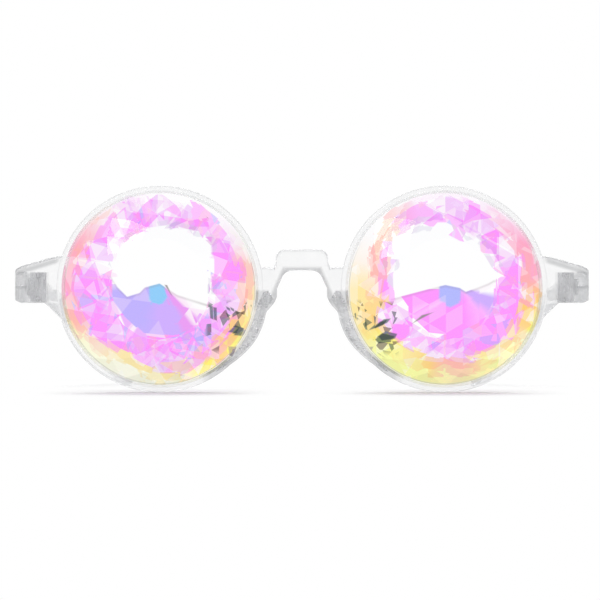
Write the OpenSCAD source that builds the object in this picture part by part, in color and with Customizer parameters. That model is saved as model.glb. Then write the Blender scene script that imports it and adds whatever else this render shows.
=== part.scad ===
// Clear round-framed glasses with thick faceted crystal lenses.
// X runs across the face, -Y is the side that looks ahead and +Z is up. The glasses stand on Z = 0 with
// their temples open, on the lowest points of both rims and on both temple tips. Each piece is drawn on
// the +X side and mirrored to the other, and left is the -X side.

/* [Lenses] */
// Diameter of a lens over its girdle
lens_d = 51.2; // [47:0.1:54]
// Distance between the openings of the two rims, across the nose
bridge_w = 24; // [18:0.5:30]
// Thickness of the girdle, which sits in the groove of the rim
girdle_t = 2.6; // [2:0.1:3.2]
// Thickness of the lens behind its girdle
lens_back_t = 0.6; // [0.3:0.1:1.2]
// Number of facets in each row round the lens
facet_count = 16; // [12:1:20]
// Radius of the flat table over its corners
table_r = 13.2; // [10:0.1:15]
// Radial width of a row of facets
row_w = 3; // [2.6:0.1:3.4]
// Number of rows of facets, counted from the table
row_count = 5; // [3:1:6]
// Slope of the row that borders the table, in degrees
star_slope = 14; // [8:0.5:16]

/* [Rims] */
// Depth of the rims from front to back
rim_depth = 5.6; // [4.8:0.1:7]
// Plastic outside the groove
rim_wall = 1.2; // [0.8:0.1:2]
// How far the lips of the rim reach over the girdle
rim_lip = 0.6; // [0.4:0.1:0.9]
// Radius on the edges of the rims
rim_round = 0.55; // [0.2:0.05:0.6]

/* [Bridge] */
// Height of the bridge's top over the lens centres
bridge_rise = 10.3; // [8:0.1:13]
// Height of the bridge bar
bar_h = 5.5; // [4:0.1:6.5]
// Depth of the bridge bar from front to back
bar_depth = 4.2; // [3:0.1:4.8]
// Width of a bridge leg beside the rim, at the height of the lens centres
leg_w = 3.6; // [2.4:0.1:4.2]
// Width of the band that each leg carries on round the lower rim
band_w = 1.5; // [0.8:0.1:1.9]
// How much nearer to the middle than its foot the top corner of the arch is
arch_lean = 2.1; // [1:0.1:3]
// Radius of the top corners of the arch
arch_round = 2.8; // [1.4:0.1:3.4]
// Radius of the shoulders of the bridge bar
brow_round = 2.4; // [1:0.1:3]

/* [End pieces] */
// How far an end piece stands out past the rim
end_reach = 10.9; // [9.9:0.1:22]
// Height of an end piece's upper edge over the lens centres, beside the rim
end_top = 8.6; // [6.5:0.1:10]
// Depth of an end piece's lower edge under the lens centres, beside the rim
end_low = 4.5; // [3.8:0.1:6]
// Radius of the outer front corner, seen from above
end_corner_r = 4.6; // [3:0.1:5]
// Thickness of an end piece at its outermost edge, ahead of the temple
end_edge_t = 2; // [1.4:0.1:3]

/* [Temples] */
// Thickness of a temple at its hinge
temple_t = 3.8; // [3.2:0.1:5]
// Height of a temple at its hinge
temple_h = 8.2; // [7.4:0.1:10]
// Height of the middle of a temple's butt over the lens centres
temple_rise = 0.5; // [-1:0.1:2]
// Height of a temple at its narrowest, at the bend
temple_neck_h = 5.6; // [4.5:0.1:7]
// Thickness of a temple at the bend
temple_neck_t = 3.3; // [2.4:0.1:4.4]
// Length from the butt to the start of the bend
bend_at = 85; // [70:1:110]
// Length from the start of the bend to the tip, measured along Y
hook_run = 42; // [32:1:52]
// How far the bend and the hook come in towards the head
hook_in = 23; // [4:0.5:25]
// Angle at which the tip points down, in degrees
tip_down = 30; // [10:1:45]
// Angle at which the tip points inwards, in degrees
tip_inwards = 28; // [0:1:40]
// Radius of the round tip
tip_r = 3.6; // [2.8:0.1:4.5]
// Thickness of the tip
tip_t = 2.8; // [2:0.1:3.6]
// Gap between a temple's butt and its end piece
butt_gap = 0.15; // [0.1:0.05:0.4]

/* [Nose pads] */
// How far a pad stands out behind the rim
pad_h = 5.4; // [3:0.1:7]
// Angle below the horizontal, seen from the lens centre, at which a pad starts
pad_from = 1; // [0:1:6]
// Angle below the horizontal, seen from the lens centre, at which a pad ends
pad_to = 56; // [46:1:60]

/* [Hinges] */
// Radius of a hinge's barrels
barrel_r = 1.4; // [1.2:0.05:1.6]
// Height of the middle barrel, which belongs to the temple
middle_barrel_h = 1.6; // [1.2:0.1:2]
// Height of each outer barrel, which belong to the front
outer_barrel_h = 1.2; // [1:0.1:1.4]
// Gap between neighbouring barrels
barrel_gap = 0.1; // [0.05:0.05:0.2]
// Thickness of both hinge leaves
leaf_t = 0.9; // [0.7:0.05:1.1]
// Width of the front leaf, which stands upright at the end of the front
front_leaf_w = 4.2; // [3.4:0.1:5]
// Length of the temple leaf behind the butt
temple_leaf_l = 9.5; // [8:0.5:14]
// Radius of the hinge screw's shank
pin_r = 0.6; // [0.45:0.05:0.75]
// Radius of the hinge screw's head
pin_head_r = 1.05; // [0.9:0.05:1.2]
// Height of the hinge screw's head
pin_head_h = 0.6; // [0.4:0.05:0.8]
// Radius of a leaf screw's shank
leaf_screw_r = 0.4; // [0.3:0.05:0.5]
// Radius of a leaf screw's head
leaf_screw_head_r = 0.7; // [0.6:0.05:0.8]
// Height of a leaf screw's head
leaf_screw_head_h = 0.4; // [0.3:0.05:0.6]
// Length of a leaf screw's shank in the plastic
leaf_screw_grip = 1.6; // [1:0.1:2]
// Distance between the two screws of a temple leaf
leaf_screw_pitch = 2.6; // [2.2:0.1:3]

/* [Clearances] */
// Gap between a lens and its rim, all round
lens_gap = 0.1; // [0.05:0.05:0.2]
// Radial gap between the hinge screw and the barrels
pin_gap = 0.05; // [0.03:0.01:0.1]
// Gap between a hinge leaf and the pocket that it lies in
leaf_gap = 0.06; // [0.03:0.01:0.1]
// Radial gap between a leaf screw and its hole
leaf_screw_gap = 0.03; // [0.02:0.01:0.08]

/* [Hidden] */
$fn = 96;

// Lens and rim. Depths are measured back from the front plane of the rims.
lens_r = lens_d / 2;
opening_r = lens_r - rim_lip;
lens_x = bridge_w / 2 + opening_r;
neck_r = opening_r - lens_gap;
groove_r = lens_r + lens_gap;
rim_r = groove_r + rim_wall;
lens_z = rim_r;
groove_back = rim_depth - lens_back_t - lens_gap;
girdle_back = groove_back - lens_gap;
girdle_front = girdle_back - girdle_t;
groove_front = girdle_front - lens_gap;
lens_rear = girdle_back + lens_back_t;
crown_foot = 0.3;
cut = 200;

// Facets. Ring 0 is the table's corners, ring k lies row_w further out for each k, and odd rings are
// turned by half a facet. A facet of row k hangs from a corner of ring k - 2 (in the first row, from an
// edge of the table) and passes through the two nearest corners of ring k - 1. Its plane carried on gives
// the fall of ring k, so that the facets of all rows meet in points.
half_turn = 180 / facet_count;
chord = cos(half_turn);
function ring_r(k) = table_r + row_w * k;
function hang_r(k) = k == 1 ? ring_r(0) * chord : ring_r(k - 2);
function hang_fall(k) = k == 1 ? 0 : fall(k - 2);
function row_slope(k) =
    k == 1 ? tan(star_slope) : (fall(k - 1) - fall(k - 2)) / (ring_r(k - 1) * chord - ring_r(k - 2));
// Fall of row k's plane below the table, at radius r over the middle of a facet
function row_fall(k, r) = hang_fall(k) + row_slope(k) * (r - hang_r(k));
function fall(k) = k == 0 ? 0 : row_fall(k, ring_r(k));
crown_h = max([for (k = [1:row_count]) row_fall(k, neck_r)]);
table_y = crown_foot - crown_h;

// Bridge. The arch is its lower contour and the brow its upper one. nose_x is the rim's innermost point.
nose_x = lens_x - rim_r;
bar_top = bridge_rise;
bar_low = bridge_rise - bar_h;
bar_back = (rim_depth + bar_depth) / 2;
bar_front = bar_back - bar_depth;
leg_front = 0.45;
bar_round = 1.5;
foot_round = 0.4;
bridge_steps = 2;
leg_root_r = rim_r - rim_wall / 2;
leg_x = nose_x - leg_w;
corner_x = leg_x - arch_lean;
shoulder_over = 0.1;
shoulder_x = leg_x - shoulder_over;
neck_out = 1;
neck_drop = 4.8;
neck_share = 2 / 3;
foot_angle = -12;
leg_to = 5;
band_from = 12;
fade_from = 22;
band_step = 4;
band_sink = 0.3;
arch_steps = 4;

// End pieces. plate_back is the plane that the front leaf lies flush with.
end_x = lens_x + rim_r + end_reach;
plate_inset = 0.2;
plate_back = rim_depth - plate_inset;
plate_front = 0.4;
plate_round = 0.9;
plate_root_x = lens_x + opening_r;
tip_top = 4.7;
tip_droop = 1.4;
tip_lift = 0.8;
low_run = 0.35;
butt_root = 1.2;

// Hinge, at (hinge_x, hinge_y), and the temples
wall_x = end_x - temple_t;
hinge_x = wall_x - barrel_r - barrel_gap;
hinge_y = plate_back + barrel_r + 2 * barrel_gap;
hinge_z = lens_z + temple_rise;
butt_y = hinge_y + butt_gap;
hinge_h = middle_barrel_h + 2 * outer_barrel_h + 2 * barrel_gap;
temple_round = 1.6;
knuckle_l = 1.5;
bend_y = butt_y + bend_at;
hook_y = bend_y + hook_run;

// Loft helpers
corner_steps = 3;
corner_limit = 0.49;
function smooth(a, b, x) = let (t = max(0, min(1, (x - a) / (b - a)))) t * t * (3 - 2 * t);
function mix(a, b, t) = a + (b - a) * t;
function unit(v) = v / norm(v);

// Point at share t of the arc of radius r that rounds the corner at b, between the ways to a and to c
function rounded(a, b, c, r, t) =
    let (
        u = unit(a - b),
        v = unit(c - b),
        half = acos(u * v) / 2,
        centre = b + unit(u + v) * r / sin(half),
        from = unit(b + u * r / tan(half) - centre),
        to = unit(b + v * r / tan(half) - centre),
        sweep = 180 - 2 * half
    )
    centre + r * (from * sin((1 - t) * sweep) + to * sin(t * sweep)) / sin(sweep);

// Corners of a rectangle from [a0, b0] to [a1, b1], counter-clockwise, rounded by r0 at a0 and by r1 at a1
function round_rect(a0, b0, a1, b1, r0, r1) =
    let (limit = corner_limit * min(a1 - a0, b1 - b0))
    [for (c = [0:3], s = [0:corner_steps])
        let (
            far = c == 0 || c == 3,
            q = min(far ? r1 : r0, limit),
            a = far ? a1 - q : a0 + q,
            b = c < 2 ? b1 - q : b0 + q,
            w = 90 * (c + s / corner_steps)
        )
        [a + q * cos(w), b + q * sin(w)]];

// Smooth curve through the rows of list p, with steps spans from each row to the next
function through(p, steps) =
    let (n = len(p))
    [for (i = [0:n - 2], s = [0:steps - (i == n - 2 ? 0 : 1)])
        let (
            t = s / steps,
            p0 = p[max(i - 1, 0)],
            p1 = p[i],
            p2 = p[i + 1],
            p3 = p[min(i + 2, n - 1)]
        )
        p1 + (p2 - p0) * t / 2 + (2 * p0 - 5 * p1 + 4 * p2 - p3) * t * t / 2
            + (3 * p1 - p0 - 3 * p2 + p3) * t * t * t / 2];

// Closed solid through rings of equally many points, each counter-clockwise about the direction of the loft
module loft(rings) {
    n = len(rings[0]);
    m = len(rings);
    polyhedron(
        points = [for (ring = rings) each ring],
        faces = concat(
            [[for (i = [0:n - 1]) i]],
            [[for (i = [n - 1:-1:0]) (m - 1) * n + i]],
            [for (k = [0:m - 2], i = [0:n - 1])
                [k * n + i, (k + 1) * n + i, (k + 1) * n + (i + 1) % n]],
            [for (k = [0:m - 2], i = [0:n - 1])
                [k * n + i, (k + 1) * n + (i + 1) % n, k * n + (i + 1) % n]]
        )
    );
}

// Puts a piece that is drawn on the +X side on side s, which is -1 or 1
module side(s) {
    mirror([s < 0 ? 1 : 0, 0, 0]) children();
}

// Turns a shape whose axis is Z so that it points to +Y, at the centre of the +X lens
module at_lens() {
    translate([lens_x, 0, lens_z]) rotate([-90, 0, 0]) children();
}

// Lens

module half_space(k, turn) {
    rotate(turn)
        translate([hang_r(k), 0, table_y + hang_fall(k)])
            rotate([0, -atan(row_slope(k)), 0])
                translate([-cut / 2, -cut / 2, 0])
                    cube([cut, cut, cut / 2]);
}

module facet_cone() {
    intersection_for (k = [1:row_count])
        intersection_for (i = [0:facet_count - 1])
            half_space(k, (2 * i + k % 2) * half_turn);
}

module lens_blank() {
    translate([0, 0, table_y]) cylinder(h = lens_rear - table_y, r = neck_r);
    translate([0, 0, girdle_front]) cylinder(h = girdle_t, r = lens_r);
}

module lens(s) {
    color([0.93, 0.72, 0.95, 0.6])
        side(s)
            at_lens()
                intersection() {
                    facet_cone();
                    lens_blank();
                }
}

// Frame front

module rim_solid() {
    rotate_extrude() {
        translate([0, rim_round]) square([rim_r, rim_depth - 2 * rim_round]);
        square([rim_r - rim_round, rim_depth]);
        for (y = [rim_round, rim_depth - rim_round])
            translate([rim_r - rim_round, y]) circle(r = rim_round);
    }
}

module lens_seat() {
    translate([0, 0, -cut / 2]) cylinder(h = cut, r = opening_r);
    translate([0, 0, groove_front]) cylinder(h = groove_back - groove_front, r = groove_r);
}

// Width of the leg and its band outside the rim, at angle a below the horizontal. The band's end sinks
// into the rim.
function leg_reach(a) =
    mix(mix(leg_w, band_w, smooth(leg_to, band_from, a)), -band_sink, smooth(fade_from, pad_to, a));

// Point at radius r and angle a below the horizontal, on the nose side of the +X lens centre
function nose_side(r, a) = [lens_x - r * cos(a), -r * sin(a)];

// A station of the bridge: its point on the arch, its point on the brow, and the radius of its back edges
function bridge_station(inner, outer, front, back, edge) =
    [inner[0], inner[1], outer[0], outer[1], front, back, edge];

arch_mid = [0, bar_low];
arch_corner = [corner_x, bar_low];
arch_foot = [leg_x, 0];
brow_mid = [0, bar_top];
brow_corner = [shoulder_x, bar_top];
brow_neck = [shoulder_x + neck_out, bar_top - neck_drop];
brow_foot = nose_side(leg_root_r, foot_angle);

// The bar, the rounding of both contours, the leg down to its foot beside the rim, and the band round
// the rim
bridge_half = concat(
    [bridge_station(arch_mid, brow_mid, bar_front, bar_back, bar_round)],
    [for (t = [0:1 / arch_steps:1])
        bridge_station(
            rounded(arch_mid, arch_corner, arch_foot, arch_round, t),
            rounded(brow_mid, brow_corner, brow_neck, brow_round, t),
            bar_front,
            bar_back,
            bar_round
        )],
    [
        bridge_station(mix(arch_corner, arch_foot, neck_share), brow_neck, bar_front, bar_back, bar_round),
        bridge_station(arch_foot, brow_foot, leg_front, rim_depth, foot_round)
    ],
    [for (a = [band_step:band_step:pad_to])
        bridge_station(
            nose_side(rim_r + leg_reach(a), a),
            nose_side(leg_root_r, a),
            leg_front,
            rim_depth,
            foot_round
        )]
);

function flip(q) = [-q[0], q[1], -q[2], q[3], q[4], q[5], q[6]];

bridge_stations = through(
    concat([for (i = [len(bridge_half) - 1:-1:1]) flip(bridge_half[i])], bridge_half),
    bridge_steps
);

function bridge_ring(q) =
    let (
        inner = [q[0], q[1]],
        across = [q[2], q[3]] - inner,
        w = norm(across)
    )
    [for (p = round_rect(q[4], 0, q[5], w, bar_round, q[6]))
        let (g = inner + across * p[1] / w)
        [g[0], p[0], lens_z + g[1]]];

module bridge() {
    loft([for (q = bridge_stations) bridge_ring(q)]);
}

// Heights of an end piece's upper and lower edge over the lens centres, at share t of its way out
function end_high(t) = mix(end_top, tip_top + tip_droop, smooth(0, 1, t));
function end_deep(t) = -mix(end_low, temple_h / 2 - temple_rise, smooth(0, low_run, t));

// The plate of an end piece, which runs out from the rim and rounds back at its outer corner
plate_steps = 12;
function plate_ring(i) =
    let (
        t = i / plate_steps,
        bent_from = end_x - end_corner_r,
        w = 90 * max(0, 2 * t - 1),
        x = t < 0.5 ? mix(plate_root_x, bent_from, 2 * t) : bent_from + end_corner_r * sin(w),
        bent = 1 - cos(w),
        front = mix(plate_front, plate_back - end_edge_t, bent),
        reach = (x - plate_root_x) / (end_x - plate_root_x),
        low = end_deep(reach) + tip_lift * bent,
        high = end_high(reach) - tip_droop * bent
    )
    [for (p = round_rect(front, low, plate_back, high, plate_round, plate_round))
        [x, p[0], lens_z + p[1]]];

function butt_ring(y) =
    [for (p = round_rect(-temple_h / 2, wall_x, temple_h / 2, end_x, temple_round, temple_round))
        [p[1], y, hinge_z + p[0]]];

module end_piece() {
    loft([for (i = [0:plate_steps]) plate_ring(i)]);
    loft([butt_ring(plate_back - butt_root), butt_ring(hinge_y)]);
}

// Hinge leaves lie in pockets. The cut for a pocket is the leaf's plate grown by the leaf gap.
screw_margin = 0.15;
front_screw_z = hinge_h / 2 + screw_margin + leaf_screw_head_r;
front_leaf_h = 2 * (front_screw_z + leaf_screw_head_r + screw_margin);
front_leaf_from = hinge_x + barrel_r - front_leaf_w;
temple_leaf_from = butt_y + leaf_gap;

module front_leaf_plate(g) {
    translate([front_leaf_from - g, plate_back - leaf_t - g, hinge_z - front_leaf_h / 2 - g])
        cube([front_leaf_w + 2 * g, leaf_t + 2 * g, front_leaf_h + 2 * g]);
}

module temple_leaf_plate(g) {
    translate([wall_x - g, temple_leaf_from - g, hinge_z - hinge_h / 2 - g])
        cube([leaf_t + 2 * g, temple_leaf_l + 2 * g, hinge_h + 2 * g]);
}

// Places of the leaf screws: over and under the barrels in a front leaf, in a row along a temple leaf
front_screw_x = front_leaf_from + front_leaf_w / 2;
front_screws = [for (i = [-1, 1]) [front_screw_x, plate_back, hinge_z + i * front_screw_z]];
temple_screw_y = [for (i = [0:1])
    temple_leaf_from + temple_leaf_l - leaf_screw_head_r - screw_margin - i * leaf_screw_pitch];

// Shank of a leaf screw grown by g, from the face of the leaf into the plastic
module front_leaf_shanks(g) {
    for (p = front_screws)
        translate(p)
            rotate([90, 0, 0])
                cylinder(h = leaf_t + leaf_screw_grip + g, r = leaf_screw_r + g);
}

module temple_leaf_shanks(g) {
    for (y = temple_screw_y)
        translate([wall_x, y, hinge_z])
            rotate([0, 90, 0])
                cylinder(h = leaf_t + leaf_screw_grip + g, r = leaf_screw_r + g);
}

module frame_front() {
    color([0.9, 0.91, 0.92, 0.5])
        difference() {
            union() {
                for (s = [-1, 1])
                    side(s) {
                        at_lens() rim_solid();
                        end_piece();
                    }
                bridge();
            }
            for (s = [-1, 1])
                side(s) {
                    at_lens() lens_seat();
                    front_leaf_plate(leaf_gap);
                    front_leaf_shanks(leaf_screw_gap);
                }
        }
}

// Nose pads. A pad lies on the back of the rim and its leg, from pad_inset outside the opening to pad_edge
// inside the leg's edge. It is highest near its top and sinks to pad_low_share of that towards its lower
// end.
pad_inset = 0.5;
pad_edge = 0.4;
pad_min_w = 0.9;
pad_end_share = 0.03;
pad_low_share = 0.35;
pad_sink_from = 0.35;
pad_fullness = 0.8;
pad_steps = 16;
pad_arc_steps = 10;
function pad_ring(i) =
    let (
        t = (1 - cos(180 * i / pad_steps)) / 2,
        a = mix(pad_from, pad_to, t),
        swell = sqrt(max(pad_end_share, 1 - pow(2 * t - 1, 4))),
        r0 = opening_r + pad_inset,
        r1 = max(rim_r + leg_reach(a) - pad_edge, r0 + pad_min_w),
        mid = (r0 + r1) / 2,
        w = (r1 - r0) / 2 * swell,
        h = pad_h * swell * mix(1, pad_low_share, smooth(pad_sink_from, 1, t))
    )
    [for (k = [0:pad_arc_steps])
        let (
            f = 180 * k / pad_arc_steps,
            g = nose_side(mid + w * cos(f), a)
        )
        [g[0], rim_depth + h * pow(sin(f), pad_fullness), lens_z + g[1]]];

module nose_pad(s) {
    color([0.78, 0.8, 0.82, 0.6])
        side(s)
            loft([for (i = [0:pad_steps]) pad_ring(i)]);
}

// Hinges

module barrel(from, h) {
    translate([hinge_x, hinge_y, from])
        cylinder(h = h, r = barrel_r);
}

module pin_bore() {
    translate([hinge_x, hinge_y, hinge_z - hinge_h])
        cylinder(h = 2 * hinge_h, r = pin_r + pin_gap);
}

outer_barrels = [hinge_z - hinge_h / 2, hinge_z + hinge_h / 2 - outer_barrel_h];
middle_barrel = hinge_z - middle_barrel_h / 2;

module front_leaf(s) {
    color("silver")
        side(s)
            difference() {
                union() {
                    front_leaf_plate(0);
                    for (z = outer_barrels) {
                        barrel(z, outer_barrel_h);
                        translate([hinge_x - barrel_r, plate_back - leaf_t, z])
                            cube([2 * barrel_r, hinge_y - plate_back + leaf_t, outer_barrel_h]);
                    }
                }
                pin_bore();
                front_leaf_shanks(leaf_screw_gap);
            }
}

module temple_leaf(s) {
    color("silver")
        side(s)
            difference() {
                union() {
                    temple_leaf_plate(0);
                    barrel(middle_barrel, middle_barrel_h);
                    translate([hinge_x, hinge_y, middle_barrel])
                        cube([wall_x - hinge_x, barrel_r, middle_barrel_h]);
                    translate([wall_x - barrel_gap, temple_leaf_from, middle_barrel])
                        cube([leaf_t, knuckle_l, middle_barrel_h]);
                }
                pin_bore();
                temple_leaf_shanks(leaf_screw_gap);
            }
}

// Slot in the head of the hinge screw
slot_w = pin_r / 2;
slot_z = hinge_z + hinge_h / 2 + pin_head_h / 2;

module hinge_screw(s) {
    color("gainsboro")
        side(s)
            difference() {
                translate([hinge_x, hinge_y, 0]) {
                    translate([0, 0, hinge_z - hinge_h / 2])
                        cylinder(h = hinge_h, r = pin_r);
                    translate([0, 0, hinge_z + hinge_h / 2])
                        cylinder(h = pin_head_h, r = pin_head_r);
                }
                translate([hinge_x - cut / 2, hinge_y - slot_w / 2, slot_z])
                    cube([cut, slot_w, cut]);
            }
}

module front_leaf_screws(s) {
    color("gainsboro")
        side(s) {
            front_leaf_shanks(0);
            for (p = front_screws)
                translate(p + [0, leaf_screw_head_h, 0])
                    rotate([90, 0, 0])
                        cylinder(h = leaf_screw_head_h, r = leaf_screw_head_r);
        }
}

module temple_leaf_screws(s) {
    color("gainsboro")
        side(s) {
            temple_leaf_shanks(0);
            for (y = temple_screw_y)
                translate([wall_x - leaf_screw_head_h, y, hinge_z])
                    rotate([0, 90, 0])
                        cylinder(h = leaf_screw_head_h, r = leaf_screw_head_r);
        }
}

// Temples. The route runs straight back to the bend, then down and inwards to the centre of the round tip,
// which stands as high over the ground as its own radius.
butt = [end_x - temple_t / 2, butt_y, hinge_z];
bend = [butt[0], bend_y, hinge_z];
tip = [butt[0] - hook_in, hook_y, tip_r];
bend_share = 0.42;
tip_share = 0.36;
bend_pull = bend_share * hook_run;
tip_pull = tip_share * hook_run;
tip_way = [-sin(tip_inwards) * cos(tip_down), cos(tip_inwards) * cos(tip_down), -sin(tip_down)];

function hook_point(t) =
    let (
        b = bend + [0, bend_pull, 0],
        c = tip - tip_way * tip_pull,
        u = 1 - t
    )
    u * u * u * bend + 3 * u * u * t * b + 3 * u * t * t * c + t * t * t * tip;

function hook_way(t) =
    let (
        b = bend + [0, bend_pull, 0],
        c = tip - tip_way * tip_pull,
        u = 1 - t
    )
    unit(u * u * (b - bend) + 2 * u * t * (c - b) + t * t * (tip - c));

// Ring of a temple round point p, square to the way it runs, h high and w thick
function temple_ring(p, way, h, w, r) =
    let (
        q = unit(cross(way, [0, 0, 1])),
        up = cross(q, way)
    )
    [for (c = round_rect(-h / 2, -w / 2, h / 2, w / 2, r, r)) p + up * c[0] + q * c[1]];

// The straight gets lower from taper_from on and thinner from thin_from on, the hook widens between
// swell_from and swell_to, and the cap closes the tip. All are shares of the way, and cap_sweep and
// cap_thin_from are angles.
straight_steps = 6;
taper_from = 0.1;
thin_from = 0.25;
hook_steps = 16;
swell_from = 0.2;
swell_to = 0.9;
cap_steps = 5;
cap_sweep = 80;
cap_thin_from = 20;
cap_t_share = 0.55;

temple_rings = concat(
    [for (i = [0:straight_steps])
        let (t = i / straight_steps)
        temple_ring(
            mix(butt, bend, t),
            [0, 1, 0],
            mix(temple_h, temple_neck_h, smooth(taper_from, 1, t)),
            mix(temple_t, temple_neck_t, smooth(thin_from, 1, t)),
            temple_round
        )],
    [for (i = [1:hook_steps])
        let (t = i / hook_steps)
        temple_ring(
            hook_point(t),
            hook_way(t),
            mix(temple_neck_h, 2 * tip_r, smooth(swell_from, swell_to, t)),
            mix(temple_neck_t, tip_t, t),
            temple_round
        )],
    [for (i = [1:cap_steps])
        let (w = cap_sweep * i / cap_steps)
        temple_ring(
            tip + tip_way * tip_r * sin(w),
            tip_way,
            2 * tip_r * cos(w),
            mix(tip_t, cap_t_share * tip_t, smooth(cap_thin_from, cap_sweep, w)),
            temple_round
        )]
);

module temple(s) {
    color([0.86, 0.87, 0.89, 0.5])
        side(s)
            difference() {
                loft(temple_rings);
                temple_leaf_plate(leaf_gap);
                translate([0, -leaf_gap, 0]) temple_leaf_plate(leaf_gap);
                temple_leaf_shanks(leaf_screw_gap);
            }
}

// The origin lies under the middle of the whole, so everything moves forward by half its depth
rear_y = max([for (ring = temple_rings) for (p = ring) p[1]]);
shift_y = -(rear_y + table_y) / 2;

module placed() {
    translate([0, shift_y, 0]) children();
}

placed() frame_front();
placed() lens(-1);  // lens_left
placed() lens(1);  // lens_right
placed() nose_pad(-1);  // nose_pad_left
placed() nose_pad(1);  // nose_pad_right
placed() front_leaf(-1);  // hinge_front_leaf_left
placed() front_leaf(1);  // hinge_front_leaf_right
placed() front_leaf_screws(-1);  // front_leaf_screws_left
placed() front_leaf_screws(1);  // front_leaf_screws_right
placed() hinge_screw(-1);  // hinge_screw_left
placed() hinge_screw(1);  // hinge_screw_right
placed() temple(-1);  // temple_left
placed() temple(1);  // temple_right
placed() temple_leaf(-1);  // hinge_temple_leaf_left
placed() temple_leaf(1);  // hinge_temple_leaf_right
placed() temple_leaf_screws(-1);  // temple_leaf_screws_left
placed() temple_leaf_screws(1);  // temple_leaf_screws_right
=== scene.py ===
import math
from types import SimpleNamespace

import bpy
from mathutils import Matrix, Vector


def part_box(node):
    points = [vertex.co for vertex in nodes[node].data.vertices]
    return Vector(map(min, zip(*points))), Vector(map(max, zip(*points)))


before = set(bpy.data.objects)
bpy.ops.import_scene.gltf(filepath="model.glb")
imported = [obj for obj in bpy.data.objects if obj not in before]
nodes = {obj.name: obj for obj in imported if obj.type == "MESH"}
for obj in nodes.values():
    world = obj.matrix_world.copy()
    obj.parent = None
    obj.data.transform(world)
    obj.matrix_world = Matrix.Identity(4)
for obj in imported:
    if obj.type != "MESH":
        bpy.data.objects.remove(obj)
bpy.context.view_layer.update()
scene = bpy.context.scene

MM = 0.001
SIDES = ("left", "right")


def tenths(length):
    """A length to the nearest tenth of a millimetre."""
    return round(length / MM, 1) * MM


lens_low, lens_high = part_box("lens_right")
front_low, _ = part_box("frame_front")
FRONT_Y = tenths(front_low[1])
LENS_X = tenths((lens_low[0] + lens_high[0]) / 2.0)
LENS_Z = tenths((lens_low[2] + lens_high[2]) / 2.0)
LENS_R = tenths((lens_high[0] - lens_low[0]) / 2.0)


# Nodes of a material

def as_input(tree, value, socket):
    """Links value to socket if it is a socket itself, and otherwise sets it there."""
    if isinstance(value, bpy.types.NodeSocket):
        tree.links.new(value, socket)
    else:
        socket.default_value = value


def number(tree, operation, *values):
    node = tree.nodes.new("ShaderNodeMath")
    node.operation = operation
    for value, socket in zip(values, node.inputs):
        as_input(tree, value, socket)
    return node.outputs[0]


def times(tree, first, *others):
    for other in others:
        first = number(tree, "MULTIPLY", first, other)
    return first


def largest(tree, first, *others):
    for other in others:
        first = number(tree, "MAXIMUM", first, other)
    return first


def minus(tree, first, second):
    return number(tree, "SUBTRACT", first, second)


def above(tree, value, limit):
    return number(tree, "GREATER_THAN", value, limit)


def below(tree, value, limit):
    return number(tree, "LESS_THAN", value, limit)


def swayed(tree, value, random, reach):
    """Value moved up or down by a random number between 0 and 1, over reach in all."""
    return number(tree, "MULTIPLY_ADD", minus(tree, random, 0.5), reach, value)


def vector(tree, operation, *values):
    node = tree.nodes.new("ShaderNodeVectorMath")
    node.operation = operation
    for value, socket in zip(values, node.inputs):
        as_input(tree, value, socket)
    return node.outputs["Value" if operation in ("LENGTH", "DOT_PRODUCT") else "Vector"]


def scaled(tree, value, factor):
    node = tree.nodes.new("ShaderNodeVectorMath")
    node.operation = "SCALE"
    as_input(tree, value, node.inputs[0])
    as_input(tree, factor, node.inputs["Scale"])
    return node.outputs["Vector"]


def span(tree, value, low, high, to_low=0.0, to_high=1.0):
    """Value between low and high, carried over smoothly to to_low and to_high and held there beyond them."""
    node = tree.nodes.new("ShaderNodeMapRange")
    node.interpolation_type = "SMOOTHSTEP"
    names = ("Value", "From Min", "From Max", "To Min", "To Max")
    for name, item in zip(names, (value, low, high, to_low, to_high)):
        as_input(tree, item, node.inputs[name])
    return node.outputs["Result"]


def rgba(value):
    if isinstance(value, (tuple, list)) and len(value) == 3:
        return (*value, 1.0)
    return value


def blend(tree, share, first, second, kind="MIX"):
    node = tree.nodes.new("ShaderNodeMix")
    node.data_type = "RGBA"
    node.blend_type = kind
    node.clamp_result = True
    as_input(tree, share, node.inputs["Factor"])
    for value, name in ((first, "A"), (second, "B")):
        socket = next(s for s in node.inputs if s.name == name and s.type == "RGBA")
        as_input(tree, rgba(value), socket)
    return next(s for s in node.outputs if s.type == "RGBA")


def ramp(tree, value, stops, steps=False):
    """Colour by value from stops (place, colour), changing in steps or evenly."""
    node = tree.nodes.new("ShaderNodeValToRGB")
    node.color_ramp.interpolation = "CONSTANT" if steps else "LINEAR"
    elements = node.color_ramp.elements
    while len(elements) < len(stops):
        elements.new(0.5)
    for element, (place, colour) in zip(elements, stops):
        element.position = place
        element.color = rgba(colour)
    as_input(tree, value, node.inputs[0])
    return node.outputs["Color"]


def half_up(tree, value):
    """Value between -1 and 1, carried over to 0 to 1."""
    return number(tree, "MULTIPLY_ADD", value, 0.5, 0.5)


def course(tree, value, points):
    """Straight pieces through points (place, height), with places and heights between -1 and 1."""
    stops = [((place + 1.0) / 2.0, ((height + 1.0) / 2.0,) * 3) for place, height in points]
    return number(tree, "MULTIPLY_ADD", ramp(tree, half_up(tree, value), stops), 2.0, -1.0)


def noise(tree, place, scale, detail=2.0, roughness=0.5):
    node = tree.nodes.new("ShaderNodeTexNoise")
    as_input(tree, place, node.inputs["Vector"])
    node.inputs["Scale"].default_value = scale
    node.inputs["Detail"].default_value = detail
    node.inputs["Roughness"].default_value = roughness
    return node.outputs["Fac"]


def stretched(tree, place, scales, detail=2.0):
    """Noise with its own scale along each axis."""
    return noise(tree, vector(tree, "MULTIPLY", place, scales), 1.0, detail)


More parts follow.
